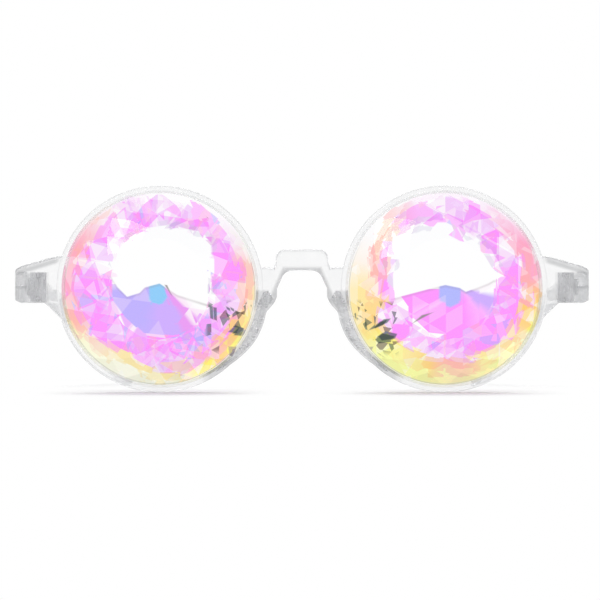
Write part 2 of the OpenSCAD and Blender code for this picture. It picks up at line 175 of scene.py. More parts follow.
def parts_of(tree, value):
    node = tree.nodes.new("ShaderNodeSeparateXYZ")
    as_input(tree, value, node.inputs[0])
    return node.outputs


def joined(tree, x, y, z):
    node = tree.nodes.new("ShaderNodeCombineXYZ")
    for value, socket in zip((x, y, z), node.inputs):
        as_input(tree, value, socket)
    return node.outputs[0]


def bumped(tree, height, strength, distance):
    node = tree.nodes.new("ShaderNodeBump")
    node.inputs["Strength"].default_value = strength
    node.inputs["Distance"].default_value = distance
    as_input(tree, height, node.inputs["Height"])
    return node.outputs[0]


def place_of(tree):
    return tree.nodes.new("ShaderNodeTexCoord").outputs["Object"]


def material(name):
    """An empty material with one Principled shader: the material, its nodes and the shader."""
    made = bpy.data.materials.new(name)
    made.use_nodes = True
    tree = made.node_tree
    return made, tree, tree.nodes["Principled BSDF"]


def absorb(tree, colour, density):
    node = tree.nodes.new("ShaderNodeVolumeAbsorption")
    node.inputs["Color"].default_value = rgba(colour)
    node.inputs["Density"].default_value = density
    tree.links.new(node.outputs[0], tree.nodes["Material Output"].inputs["Volume"])


def dress(name, made):
    """Gives a CAD node its material."""
    data = nodes[name].data
    data.materials.clear()
    data.materials.append(made)


def soft_shading(limit):
    """A modifier's node group that shades edges shallower than limit smoothly and leaves the shape alone."""
    group = bpy.data.node_groups.new("soft_shading", "GeometryNodeTree")
    for way in ("INPUT", "OUTPUT"):
        group.interface.new_socket("Geometry", in_out=way, socket_type="NodeSocketGeometry")
    kinds = ("NodeGroupInput", "GeometryNodeRemoveAttribute", "GeometryNodeMergeByDistance",
             "GeometryNodeSetShadeSmooth", "GeometryNodeSetShadeSmooth", "NodeGroupOutput")
    chain = [group.nodes.new(kind) for kind in kinds]
    for before, after in zip(chain, chain[1:]):
        group.links.new(before.outputs["Geometry"] if "Geometry" in before.outputs else before.outputs[0],
                        after.inputs["Geometry"] if "Geometry" in after.inputs else after.inputs[0])
    _, no_normals, merge, smooth, sharp, _ = chain
    no_normals.inputs["Name"].default_value = "custom_normal"
    merge.inputs["Distance"].default_value = 0.001 * MM
    smooth.domain = "FACE"
    smooth.inputs["Shade Smooth"].default_value = True
    sharp.domain = "EDGE"
    sharp.inputs["Shade Smooth"].default_value = False
    angle = group.nodes.new("GeometryNodeInputMeshEdgeAngle")
    steep = group.nodes.new("ShaderNodeMath")
    steep.operation = "GREATER_THAN"
    group.links.new(angle.outputs["Unsigned Angle"], steep.inputs[0])
    steep.inputs[1].default_value = limit
    group.links.new(steep.outputs[0], sharp.inputs["Selection"])
    return group


# Painted shade on the front

# Lengths here are in millimetres from the middle between the lens centres, and across counts to both sides.
# A pair holds where a tone begins to change and where it ends, or the tones at these two places
ARCH_TOP = 4.8
ARCH_CORNER = 4.4
ARCH_FOOT = 6.5
ARCH_FADE = (0.3, 1.4)
ARCH_SHADES = (0.85, 0.0)
ARCH_GROWTH = (-5.0, -1.5)
ARCH_SHARES = (0.25, 1.0)
# Painted shade on the rim before the nose pad, by the angle below the horizontal in quarter turns
ROOT_SHADES = ((0.0, 0.0), (0.02, 0.6), (0.09, 0.6), (0.15, 0.05), (0.45, 0.1), (0.54, 0.7), (0.66, 0.7),
              (0.74, 0.0))
ROOT_REACH = (28.0, 28.6)
# Where the temple stands behind the end piece, and the painted shade in streaks there
BUTT_SIDE = (65.7, 66.4)
BUTT_TOP = (4.6, 4.2)
STREAK_SCALES = (1100.0, 1100.0, 240.0)
STREAK_SHADES = (0.15, 0.5)
# The end piece's upper edge, by its fall outwards and its distance, and the painted shade line that runs
# under it
END_FALL = math.radians(17.28)
END_EDGE = 26.83
LINE_GROWTH = (-0.3, 0.7)
LINE_SHADES = (0.3, 0.8)
LINE_FADE = (0.9, 1.9)
LINE_START = (62.5, 64.5)


def arch_painted_shade(tree, spot, z):
    """Painted shade along the arch, by how far outside its top and its leaning side a place lies."""
    lean = math.atan2(ARCH_FOOT - ARCH_CORNER, ARCH_TOP)
    outwards = (math.cos(lean), math.sin(lean), 0.0)
    beside = minus(tree, vector(tree, "DOT_PRODUCT", spot, outwards), ARCH_FOOT * math.cos(lean))
    band = span(tree, largest(tree, beside, minus(tree, z, ARCH_TOP)), *ARCH_FADE, *ARCH_SHADES)
    return times(tree, band, span(tree, z, *ARCH_GROWTH, *ARCH_SHARES))


def root_painted_shade(tree, across, z):
    """Painted shade in the rim, before the nose pad."""
    inwards = minus(tree, LENS_X / MM, across)
    angle = number(tree, "ARCTAN2", times(tree, z, -1.0), inwards)
    stops = [(at, (painted_shade,) * 3) for at, painted_shade in ROOT_SHADES]
    painted_shade = ramp(tree, number(tree, "DIVIDE", angle, math.pi / 2.0), stops)
    reach = vector(tree, "LENGTH", joined(tree, inwards, z, 0.0))
    return times(tree, painted_shade, span(tree, reach, *ROOT_REACH, 1.0, 0.0))


def end_painted_shade(tree, place, spot, across, z):
    """Painted shade in the end piece: streaky before the temple, and a line under its upper edge."""
    streaks = span(tree, stretched(tree, place, STREAK_SCALES), 0.3, 0.7, *STREAK_SHADES)
    zone = times(tree, span(tree, across, *BUTT_SIDE), span(tree, z, *BUTT_TOP), streaks)
    upwards = (math.sin(END_FALL), math.cos(END_FALL), 0.0)
    depth = minus(tree, END_EDGE, vector(tree, "DOT_PRODUCT", spot, upwards))
    line = times(tree, span(tree, depth, *LINE_GROWTH, *LINE_SHADES), span(tree, depth, *LINE_FADE, 1.0, 0.0),
                 span(tree, across, *LINE_START))
    return largest(tree, zone, line)


def front_painted_shade(tree, place):
    """Share of painted shade, a greyer colour where light goes a long way through the front."""
    from_middle = vector(tree, "SUBTRACT", place, (0.0, 0.0, LENS_Z))
    x, _, z = parts_of(tree, scaled(tree, from_middle, 1.0 / MM))
    across = number(tree, "ABSOLUTE", x)
    spot = joined(tree, across, z, 0.0)
    return largest(tree, arch_painted_shade(tree, spot, z), root_painted_shade(tree, across, z),
                   end_painted_shade(tree, place, spot, across, z))


# Plastic and metal

PLASTIC_TONE = (0.70, 0.72, 0.75)
# Grey of the painted shade on the front
PAINTED_SHADE_GREY = (0.36, 0.365, 0.38)
# A low index keeps the mouldings clear, and the coat has the gloss of acrylic
PLASTIC_INDEX = 1.12
ACRYLIC_INDEX = 1.49
# Scales of noise, in waves to the metre
CLOUD_SCALE = 160.0
FLOW_SCALES = (420.0, 90.0, 420.0)
POLISH_SCALE = 900.0
FLOW_COVER = 0.25
# How far the plastic turns away from view, and how strongly its rim's colour, a painted shade, covers it
# there
RIM_TURN = (0.05, 0.6)
RIM_SHADE_COVER = (0.0, 0.8)


def clear_plastic(name, pale, deep, rim, clear, alpha, rough, density, painted_shade=None):
    """Moulded clear plastic: faint clouds and flow lines, an uneven polish, a colour that deepens with the
    way that light goes through it, a painted shade on its rim where it turns away from view, and, where
    given, a painted greyer shade on the front."""
    made, tree, shader = material(name)
    place = place_of(tree)
    cloud = ramp(tree, noise(tree, place, CLOUD_SCALE, 3.0, 0.55), ((0.32, deep), (0.68, pale)))
    flow = ramp(tree, stretched(tree, place, FLOW_SCALES), ((0.3, deep), (0.7, pale)))
    colour = blend(tree, FLOW_COVER, cloud, flow, "MULTIPLY")
    # Painted shade: the colour turns to the rim's darker colour where the surface turns away from view
    turned = tree.nodes.new("ShaderNodeLayerWeight").outputs["Facing"]
    colour = blend(tree, span(tree, turned, *RIM_TURN, *RIM_SHADE_COVER), colour, rim)
    # Painted shade on the front, greyer where it is given
    if painted_shade:
        colour = blend(tree, painted_shade(tree, place), colour, PAINTED_SHADE_GREY)
    polish = span(tree, noise(tree, place, POLISH_SCALE, 4.0, 0.6), 0.35, 0.75, *rough)
    tree.links.new(colour, shader.inputs["Base Color"])
    tree.links.new(polish, shader.inputs["Roughness"])
    shader.inputs["Transmission Weight"].default_value = clear
    shader.inputs["IOR"].default_value = PLASTIC_INDEX
    shader.inputs["Coat Weight"].default_value = 0.6
    shader.inputs["Coat Roughness"].default_value = 0.08
    shader.inputs["Coat IOR"].default_value = ACRYLIC_INDEX
    shader.inputs["Alpha"].default_value = alpha
    absorb(tree, PLASTIC_TONE, density)
    return made


def brushed_metal(name, pale, deep, rough, grain):
    made, tree, shader = material(name)
    streaks = stretched(tree, place_of(tree), grain, 3.0)
    shader.inputs["Metallic"].default_value = 1.0
    tree.links.new(ramp(tree, streaks, ((0.3, deep), (0.7, pale))), shader.inputs["Base Color"])
    tree.links.new(span(tree, streaks, 0.3, 0.7, *rough), shader.inputs["Roughness"])
    tree.links.new(bumped(tree, streaks, strength=0.25, distance=0.03 * MM), shader.inputs["Normal"])
    return made


# Crystal

WHITE = (1.0, 1.0, 1.0)
MAGENTA = (1.0, 0.305, 1.0)
ORCHID = (1.0, 0.50, 1.0)
LILAC = (0.52, 0.44, 1.0)
CYAN = (0.262, 0.61, 0.956)
AZURE = (0.44, 0.48, 1.0)
VIOLET = (0.62, 0.42, 1.0)
ROSE = (0.83, 0.33, 0.91)
BLUSH = (0.973, 0.80, 0.956)
PINK = (1.0, 0.40, 0.60)
SALMON = (1.0, 0.43, 0.43)
PEACH = (0.97, 0.74, 0.62)
AMBER = (1.0, 0.60, 0.20)
SAND = (1.0, 0.80, 0.36)
YELLOW = (1.0, 0.94, 0.17)
LEMON = (0.98, 1.0, 0.40)
OLIVE = (0.86, 0.88, 0.70)
IVORY = (1.0, 0.99, 0.72)
SMOKE = (0.50, 0.48, 0.68)
MUD = (0.42, 0.42, 0.34)
TEAL = (0.015, 0.05, 0.055)
WINE = (0.07, 0.03, 0.04)
NIGHT = (0.03, 0.055, 0.075)
DUSK = (0.30, 0.26, 0.30)
# Colours of the shards, from weak to strong
SHARD_COLOURS = (
    (0.0, WHITE),
    (0.34, (0.98, 0.85, 0.97)),
    (0.42, (0.94, 0.66, 0.96)),
    (0.50, (0.86, 0.46, 0.98)),
    (0.56, MAGENTA),
    (0.72, (1.0, 0.37, 0.80)),
    (0.78, MAGENTA),
    (0.86, LILAC),
    (0.93, (1.0, 0.52, 0.96)),
)

# The rows of facets by the share of their normal that points forwards
ROW_LIMITS = (0.990, 0.964, 0.946, 0.915, 0.862)
HALF_FACETS_IN_HALF_TURN = 16.0

# Lengths here are shares of the lens radius, from the lens centre and seen from the front. Sizes of shards:
TINY = 0.08
FINE = 0.17
COARSE = 0.36
# How much a facet, and the coarse and the fine shards in it, have to say in the choice of a colour
FACET_SAY = 0.45
COARSE_SAY = 0.38
FINE_SAY = 0.30
# How uneven the warm band's border is, and how far its first shards, of other colours, reach into it. The
# fan's border sways half as far
JAG = 0.16
FIRST_REACH = 0.15
FIRST_SWAY = 0.09
# The pale lip by the rim, which fades outwards, and the dark line in it, which grows downwards
LIP_START = 0.958
LIP_SIDE = (0.5, 0.9)
LIP_COVER = (0.8, 0.25)
SEAM_RADIUS = 0.966
SEAM_REACH = 0.006
SEAM_HEIGHT = (0.6, 0.1)
SEAM_COVER = (0.0, 0.7)
# The patch of painted reflection beside the nose: where it begins, the radius where it ends, and its upper
# and lower end
NOSE_SIDE = (0.44, 0.50)
PATCH_RADIUS = 0.90
PATCH_TOP = (-0.09, -0.17)
PATCH_FOOT = (-0.70, -0.60)
# The fan in the lower table, how far its beams and its heart's border sway, and the blur of that border
FAN = ((-0.46, 0.10), (-0.46, -0.08), (-0.33, -0.26), (-0.15, -0.43), (0.14, -0.46), (0.36, -0.36),
       (0.50, -0.12), (0.50, 0.16))
BEAM_SWAY = 0.08
HEART_SWAY = 0.04
HEART_FADE = 0.03
# The white window: how far each facet and shard moves its border, half the blur of the border, and the
# width and lowest place of the cool shards along it
FACET_SWAY = 0.09
SHARD_SWAY = 0.05
SOFT_EDGE = 0.006
COOL_WIDTH = 0.05
COOL_START = 0.10
# The painted shade line under the window's sill: its depth below it, half its width, where it ends, and the
# scale at which its strength changes
SILL_DROP = 0.012
SILL_WIDTH = 0.022
SILL_RADIUS = 0.52
SILL_SCALE = 3.0
# How strongly each kind of shard, the painted shade line and the painted reflection marks cover what lies
# under them
FIRST_COVER = 0.85
PALE_COVER = 0.6
REFLECTION_SHARD_COVER = 0.92
BLUSH_COVER = 0.25
COOL_COVER = 0.5
SILL_COVER = 0.55
REFLECTION_MARK_COVER = 0.98
# Pale shards have a random number below the first of these, and the other kinds have one above theirs
PALE_BELOW = 0.14
REFLECTION_TINY_ABOVE = 0.90
REFLECTION_FINE_ABOVE = 0.96
BLUSH_ABOVE = 0.80
COOL_ABOVE = 0.55
# The polish, the glass and its coating, whose thickness is in nanometres
CRYSTAL_POLISH_SCALE = 700.0
CRYSTAL_ROUGH = (0.0, 0.03)
CRYSTAL_INDEX = 1.52
COATING_THICKNESS = 420.0
COATING_INDEX = 1.38

# For each lens: the number that its shards are drawn by, the side of the nose, corners of the white window,
# its lower border by X, where the fan's beams meet and their colours, the cool heart of the fan, small dark
# marks of painted reflection, colours of the warm band and of its first shards, the radius where it begins,
# and how strong the colours of the other shards are. A way round is in half turns from +X over +Z, from -1
# to 1. For colours it is carried over to 0 to 1
LEFT = {
    "seed": 3.0,
    "nose": 1.0,
    "window": ((-0.47, 0.18), (-0.42, 0.02), (-0.30, -0.20), (0.50, -0.20), (0.50, 0.42), (0.38, 0.54),
               (0.16, 0.60), (-0.16, 0.57), (-0.38, 0.43)),
    "sill": ((-0.5, 0.14), (-0.43, 0.02), (-0.33, -0.08), (-0.20, -0.04), (-0.15, 0.015), (0.0, 0.055),
             (0.18, -0.06), (0.5, -0.16)),
    "apex": (0.02, 0.05),
    "beams": ((0.0, BLUSH), (0.04, LILAC), (0.16, LILAC), (0.24, VIOLET), (0.31, VIOLET), (0.335, ROSE),
              (0.36, ROSE), (0.375, BLUSH), (0.43, WHITE)),
    "heart": ((-0.12, 0.06), (-0.11, -0.12), (0.0, -0.17), (0.07, -0.08), (0.06, 0.08)),
    "heart_colour": CYAN,
    # Painted reflections: small dark marks near the nose
    "reflection_marks": (((0.04, 0.05), (0.11, -0.06), (0.15, -0.10), (0.08, 0.045)),
              ((0.68, -0.44), (0.80, -0.46), (0.87, -0.40), (0.77, -0.36)),
              ((0.69, -0.575), (0.70, -0.68), (0.75, -0.70), (0.785, -0.58)),
              ((0.50, -0.16), (0.51, -0.30), (0.555, -0.32), (0.55, -0.17)),
              ((0.66, -0.16), (0.68, -0.21), (0.73, -0.24), (0.72, -0.19))),
    "band": ((0.0, PINK), (0.05, SAND), (0.10, IVORY), (0.18, (1.0, 1.0, 0.84)), (0.26, (1.0, 1.0, 0.80)),
             (0.29, IVORY), (0.32, YELLOW), (0.37, YELLOW), (0.47, SAND), (0.53, PEACH), (0.58, OLIVE),
             (0.62, WHITE), (0.70, WHITE), (0.76, BLUSH), (0.84, PEACH), (0.92, PINK), (1.0, PINK)),
    "inner": ((0.0, PINK), (0.06, SALMON), (0.12, PEACH), (0.17, SAND), (0.22, SAND), (0.30, SAND),
              (0.36, PINK), (0.41, AMBER), (0.48, SALMON), (0.54, SALMON), (0.585, BLUSH), (0.66, WHITE),
              (0.80, WHITE), (0.86, BLUSH), (0.93, SALMON), (1.0, PINK)),
    "brim": ((-1.0, 0.86), (-0.85, 0.80), (-0.75, 0.73), (-0.62, 0.71), (-0.5, 0.78), (-0.40, 0.80),
             (-0.3, 0.74), (-0.2, 0.77), (0.0, 0.80), (0.2, 0.83), (0.33, 0.85), (0.42, 0.92), (0.6, 0.97),
             (0.7, 0.90), (0.8, 0.82), (1.0, 0.86)),
    "lean": ((-1.0, 0.08), (-0.68, 0.04), (-0.55, 0.12), (-0.4, 0.06), (-0.25, 0.14), (0.0, 0.04),
             (0.2, 0.04), (0.27, 0.16), (0.38, -0.04), (0.51, -0.22), (0.6, 0.14), (0.7, -0.08),
             (0.78, -0.16), (0.86, -0.14), (0.94, 0.0), (1.0, 0.08)),
}
RIGHT = {
    "seed": 8.0,
    "nose": -1.0,
    "window": ((-0.50, 0.20), (-0.49, -0.16), (0.40, -0.16), (0.55, 0.12), (0.42, 0.34), (0.24, 0.50),
               (0.02, 0.62), (-0.22, 0.62), (-0.47, 0.52)),
    "sill": ((-0.6, -0.12), (-0.55, -0.105), (-0.08, 0.02), (0.01, 0.04), (0.157, 0.01), (0.215, -0.03),
             (0.35, 0.02), (0.45, 0.06), (0.55, 0.12)),
    "apex": (0.16, 0.0),
    "beams": ((0.0, MAGENTA), (0.06, MAGENTA), (0.085, ORCHID), (0.10, MAGENTA), (0.28, MAGENTA),
              (0.36, (1.0, 0.45, 1.0)), (0.40, VIOLET), (0.47, VIOLET), (0.5, WHITE)),
    "heart": ((-0.05, 0.06), (-0.06, -0.13), (0.06, -0.17), (0.16, -0.12), (0.17, 0.06)),
    "heart_colour": AZURE,
    # Painted reflections: small dark marks near the nose
    "reflection_marks": (((-0.37, -0.38), (-0.07, -0.22), (-0.23, -0.26)),
              ((-0.68, -0.48), (-0.64, -0.53), (-0.50, -0.51), (-0.47, -0.45), (-0.60, -0.42)),
              ((-0.77, -0.43), (-0.58, -0.35), (-0.53, -0.29), (-0.62, -0.30)),
              ((-0.94, -0.25), (-0.79, -0.32), (-0.85, -0.265)),
              ((-0.78, -0.58), (-0.74, -0.64), (-0.71, -0.58))),
    "band": ((0.0, SAND), (0.07, SAND), (0.12, LEMON), (0.20, LEMON), (0.27, (1.0, 0.88, 0.50)),
             (0.37, LEMON), (0.42, IVORY), (0.43, YELLOW), (0.49, AMBER), (0.52, PINK), (0.58, PINK),
             (0.64, BLUSH), (0.70, WHITE), (0.90, WHITE), (0.95, (1.0, 0.92, 0.84)), (1.0, SAND)),
    "inner": ((0.0, SALMON), (0.04, AMBER), (0.07, AMBER), (0.11, YELLOW), (0.17, SAND), (0.22, AMBER),
              (0.25, SALMON), (0.29, SALMON), (0.33, SAND), (0.41, (1.0, 0.66, 0.36)), (0.45, AMBER),
              (0.48, AMBER), (0.51, SALMON), (0.60, PINK), (0.68, BLUSH), (0.80, BLUSH), (0.85, SALMON),
              (0.92, SALMON), (1.0, SALMON)),
    "brim": ((-1.0, 0.59), (-0.92, 0.62), (-0.85, 0.70), (-0.7, 0.67), (-0.5, 0.64), (-0.37, 0.74),
             (-0.25, 0.80), (-0.1, 0.80), (0.04, 0.80), (0.12, 0.86), (0.2, 0.83), (0.35, 0.83),
             (0.5, 0.83), (0.62, 0.80), (0.75, 0.74), (0.85, 0.68), (0.92, 0.60), (1.0, 0.59)),
    "lean": ((-1.0, 0.02), (-0.8, 0.02), (-0.67, -0.06), (-0.5, 0.06), (-0.27, 0.10), (-0.15, 0.18),
             (-0.04, 0.12), (0.1, 0.0), (0.25, -0.06), (0.37, 0.06), (0.47, -0.12), (0.6, 0.04),
             (0.75, 0.06), (1.0, 0.02)),
}


def inside(tree, flat, corners):
    """How far a place lies inside a polygon of corners, counter-clockwise and with no corner turned in."""
    depths = []
    for start, end in zip(corners, corners[1:] + corners[:1]):
        length = math.hypot(end[0] - start[0], end[1] - start[1])
        across = ((start[1] - end[1]) / length, (end[0] - start[0]) / length, 0.0)
        offset = start[0] * across[0] + start[1] * across[1]
        depths.append(minus(tree, vector(tree, "DOT_PRODUCT", flat, across), offset))
    least = depths[0]
    for depth in depths[1:]:
        least = number(tree, "MINIMUM", least, depth)
    return least


def clock(tree, x, z):
    """Way round from +X over +Z to -X as -1 to 1, in half turns."""
    return number(tree, "DIVIDE", number(tree, "ARCTAN2", z, x), math.pi)


def chance(tree, place):
    """Three random numbers between 0 and 1 for each place."""
    node = tree.nodes.new("ShaderNodeTexWhiteNoise")
    as_input(tree, place, node.inputs["Vector"])
    return node.outputs["Color"]


def triangles(tree, flat, own, size):
    """Random numbers for each triangle of a grid of three families of lines, turned and moved by own."""
    turn = tree.nodes.new("ShaderNodeVectorRotate")
    turn.rotation_type = "Z_AXIS"
    as_input(tree, flat, turn.inputs["Vector"])
    as_input(tree, times(tree, parts_of(tree, own)[2], math.pi), turn.inputs["Angle"])
    moved = vector(tree, "ADD", turn.outputs["Vector"], own)
    lines = []
    for third in range(3):
        angle = third * math.pi / 3.0
        along = (math.cos(angle) / size, math.sin(angle) / size, 0.0)
        lines.append(number(tree, "FLOOR", vector(tree, "DOT_PRODUCT", moved, along)))
    return parts_of(tree, chance(tree, joined(tree, *lines)))


def facet_of(tree):
    """The step round the lens and the row that a facet belongs to, both from its normal."""
    normal = tree.nodes.new("ShaderNodeNewGeometry").outputs["True Normal"]
    ahead = parts_of(tree, normal)[1]
    forward = number(tree, "ABSOLUTE", ahead)
    row = 0.0
    for limit in ROW_LIMITS:
        row = number(tree, "ADD", below(tree, forward, limit), row)
    across, _, up = parts_of(tree, scaled(tree, normal, number(tree, "SIGN", ahead)))
    step = number(tree, "ROUND", times(tree, clock(tree, across, up), HALF_FACETS_IN_HALF_TURN))
    return step, row


def lens_places(tree, place, centre_x, seed, nose):
    """What a lens is painted by: places on it and the random numbers of its facets and shards."""
    local = scaled(tree, vector(tree, "SUBTRACT", place, (centre_x, 0.0, LENS_Z)), 1.0 / LENS_R)
    x, _, z = parts_of(tree, local)
    flat = joined(tree, x, z, 0.0)
    own = chance(tree, joined(tree, *facet_of(tree), seed))
    coarse = triangles(tree, flat, own, COARSE)
    radius = vector(tree, "LENGTH", flat)
    to_nose = span(tree, times(tree, x, nose), *NOSE_SIDE)
    return SimpleNamespace(
        x=x,
        z=z,
        flat=flat,
        radius=radius,
        way=clock(tree, x, z),
        outwards=times(tree, x, -nose),
        beside_nose=times(tree, to_nose, below(tree, radius, PATCH_RADIUS)),
        facet=parts_of(tree, own),
        coarse=coarse,
        fine=triangles(tree, flat, own, FINE),
        tiny=triangles(tree, flat, own, TINY),
        jag=times(tree, minus(tree, coarse[1], 0.5), JAG),
    )


def facet_shards(tree, at, lean):
    """Shards of the rows of facets, from white to strong colours."""
    pick = course(tree, at.way, lean)
    for random, say in ((at.facet, FACET_SAY), (at.coarse, COARSE_SAY), (at.fine, FINE_SAY)):
        pick = number(tree, "MULTIPLY_ADD", random[0], say, pick)
    return ramp(tree, pick, SHARD_COLOURS, steps=True)


def warm_band(tree, at, colour, band, inner, brim):
    """Warm band along the edge, outside its brim, with shards of other colours where it begins."""
    reach = minus(tree, number(tree, "ADD", at.radius, at.jag), course(tree, at.way, brim))
    way = half_up(tree, at.way)
    first = below(tree, number(tree, "MULTIPLY_ADD", at.fine[2], FIRST_SWAY, reach), FIRST_REACH)
    warm = blend(tree, times(tree, first, FIRST_COVER), ramp(tree, way, band), ramp(tree, way, inner))
    pale = times(tree, below(tree, at.fine[1], PALE_BELOW), PALE_COVER)
    return blend(tree, above(tree, reach, 0.0), colour, blend(tree, pale, warm, WHITE))


def lip_and_seam(tree, at, colour):
    """Pale lip by the rim, fainter on the outer side, with a dark line in its lower part."""
    lip = times(tree, above(tree, at.radius, LIP_START), span(tree, at.outwards, *LIP_SIDE, *LIP_COVER))
    seam = number(tree, "COMPARE", at.radius, SEAM_RADIUS, SEAM_REACH)
    seam = times(tree, seam, span(tree, at.z, *SEAM_HEIGHT, *SEAM_COVER))
    return blend(tree, seam, blend(tree, lip, colour, WHITE), MUD)


def painted_reflection_shards(tree, at, colour):
    """Small dark shards beside the nose, low on the lens: painted reflections of dark parts seen in the
    facets.
    """
    low = times(tree, span(tree, at.z, *PATCH_TOP), span(tree, at.z, *PATCH_FOOT))
    tiny_ones = above(tree, at.tiny[2], REFLECTION_TINY_ABOVE)
    fine_ones = above(tree, at.fine[2], REFLECTION_FINE_ABOVE)
    chosen = times(tree, low, at.beside_nose, largest(tree, tiny_ones, fine_ones), REFLECTION_SHARD_COVER)
    return blend(tree, chosen, colour, ramp(tree, at.tiny[1], ((0.0, TEAL), (0.5, WINE)), steps=True))


def fan_of_beams(tree, at, colour, apex, beams, heart, heart_colour):
    """Beams of cooler colours in the lower table, with the cool heart near where they meet."""
    table = above(tree, inside(tree, at.flat, FAN), times(tree, at.jag, 0.5))
    way = clock(tree, minus(tree, at.x, apex[0]), minus(tree, at.z, apex[1]))
    rays = ramp(tree, half_up(tree, swayed(tree, way, at.fine[0], BEAM_SWAY)), beams)
    depth = number(tree, "MULTIPLY_ADD", at.fine[1], HEART_SWAY, inside(tree, at.flat, heart))
    rays = blend(tree, span(tree, depth, 0.0, HEART_FADE), rays, heart_colour)
    rays = blend(tree, times(tree, above(tree, at.fine[2], BLUSH_ABOVE), BLUSH_COVER), rays, BLUSH)
    return blend(tree, table, colour, rays)


def white_window(tree, at, colour, window, sill, reflection_marks):
    """White window in the upper table, over its sill, with thin cool shards along its border, a painted
    shade line under the sill, and small dark patches of painted reflection."""
    rise = minus(tree, at.z, course(tree, at.x, sill))
    side = swayed(tree, inside(tree, at.flat, window), at.facet[1], FACET_SWAY)
    side = swayed(tree, side, at.fine[0], SHARD_SWAY)
    near = below(tree, number(tree, "ABSOLUTE", side), COOL_WIDTH)
    near = times(tree, near, above(tree, at.fine[2], COOL_ABOVE), above(tree, rise, COOL_START))
    colour = blend(tree, times(tree, near, COOL_COVER), colour, SMOKE)
    opening = times(tree, span(tree, rise, -SOFT_EDGE, SOFT_EDGE), span(tree, side, -SOFT_EDGE, SOFT_EDGE))
    colour = blend(tree, opening, colour, WHITE)
    # Painted shade: a dark line just under the sill
    off_line = number(tree, "ABSOLUTE", number(tree, "ADD", rise, SILL_DROP))
    dark = times(tree, span(tree, off_line, 0.0, SILL_WIDTH, SILL_COVER, 0.0),
                 below(tree, at.radius, SILL_RADIUS), noise(tree, at.flat, SILL_SCALE, 1.0))
    # Painted reflections: the small dark marks, darkest beside the nose
    for reflection_mark in reflection_marks:
        depth = inside(tree, at.flat, reflection_mark)
        dark = largest(tree, dark, span(tree, depth, 0.0, 2.0 * SOFT_EDGE, 0.0, REFLECTION_MARK_COVER))
    return blend(tree, dark, colour, blend(tree, at.beside_nose, DUSK, NIGHT))


def lens_crystal(name, centre_x, lens):
    """Cut crystal under an iridescent coating. Each facet of its front breaks up into triangles of pinks,
    lilacs and white. A white window fills the upper table, a fan of cooler colours its lower part, and a
    warm band the edge."""
    made, tree, shader = material(name)
    place = place_of(tree)
    at = lens_places(tree, place, centre_x, lens["seed"], lens["nose"])
    colour = facet_shards(tree, at, lens["lean"])
    colour = warm_band(tree, at, colour, lens["band"], lens["inner"], lens["brim"])
    colour = lip_and_seam(tree, at, colour)
    # Painted reflections: small dark shards beside the nose
    colour = painted_reflection_shards(tree, at, colour)
    colour = fan_of_beams(tree, at, colour, lens["apex"], lens["beams"], lens["heart"], lens["heart_colour"])
    colour = white_window(tree, at, colour, lens["window"], lens["sill"], lens["reflection_marks"])
    polish = span(tree, noise(tree, place, CRYSTAL_POLISH_SCALE, 3.0), 0.4, 0.8, *CRYSTAL_ROUGH)
    tree.links.new(colour, shader.inputs["Base Color"])
    tree.links.new(polish, shader.inputs["Roughness"])
    shader.inputs["Transmission Weight"].default_value = 1.0
    shader.inputs["IOR"].default_value = CRYSTAL_INDEX
    shader.inputs["Thin Film Thickness"].default_value = COATING_THICKNESS
    shader.inputs["Thin Film IOR"].default_value = COATING_INDEX
    return made


# Materials on the pieces

# The front's plastic gets painted shade: greyer along the arch, before the nose pads and in the end pieces
frame_plastic = clear_plastic(
    "clear_frame", pale=(0.985, 0.985, 0.985), deep=(0.93, 0.935, 0.94), rim=(0.50, 0.51, 0.53), clear=0.88,
    alpha=0.6, rough=(0.03, 0.10), density=4.0, painted_shade=front_painted_shade)
temple_plastic = clear_plastic(
    "clear_temple", pale=(0.975, 0.975, 0.98), deep=(0.92, 0.925, 0.93), rim=(0.50, 0.51, 0.53), clear=0.85,
    alpha=0.7, rough=(0.03, 0.09), density=2.0)
pad_plastic = clear_plastic(
    "clear_pad", pale=(0.90, 0.905, 0.915), deep=(0.83, 0.835, 0.85), rim=(0.60, 0.61, 0.63), clear=0.6,
    alpha=0.6, rough=(0.25, 0.4), density=2.0)
hinge_steel = brushed_metal(
    "hinge_steel", pale=(0.84, 0.84, 0.85), deep=(0.70, 0.70, 0.72), rough=(0.22, 0.40),
    grain=(2500.0, 2500.0, 300.0))
screw_steel = brushed_metal(
    "screw_steel", pale=(0.80, 0.80, 0.81), deep=(0.62, 0.62, 0.64), rough=(0.10, 0.22),
    grain=(1500.0, 1500.0, 1500.0))
crystal = {
    "left": lens_crystal("crystal_left", -LENS_X, LEFT),
    "right": lens_crystal("crystal_right", LENS_X, RIGHT),
}

dress("frame_front", frame_plastic)
for side in SIDES:
    dress(f"lens_{side}", crystal[side])
    dress(f"nose_pad_{side}", pad_plastic)
    dress(f"temple_{side}", temple_plastic)
    for leaf in ("front", "temple"):
        dress(f"hinge_{leaf}_leaf_{side}", hinge_steel)
        dress(f"{leaf}_leaf_screws_{side}", screw_steel)
    dress(f"hinge_screw_{side}", screw_steel)

SOFT_LIMIT = math.radians(32.0)
soft = soft_shading(SOFT_LIMIT)
for name in ("frame_front", "nose_pad_left", "nose_pad_right", "temple_left", "temple_right"):
    nodes[name].modifiers.new("soft_shading", "NODES").node_group = soft


# Studio

GREY = (0.58, 0.59, 0.60)
# The background turns grey between these shares of the way up or down
HORIZON_FADE = (0.1, 0.6)
FILL_STRENGTH = 0.6
FLOOR_RADIUS = 12.0
FLOOR_Z = -0.02 * MM
FLOOR_GREY = (0.92, 0.92, 0.92)
# Middle of a rim's depth behind its front, and a place under a temple's hook
RIM_MIDDLE = 2.8 * MM
HOOK_X = 50.0 * MM
HOOK_Y = 60.0 * MM
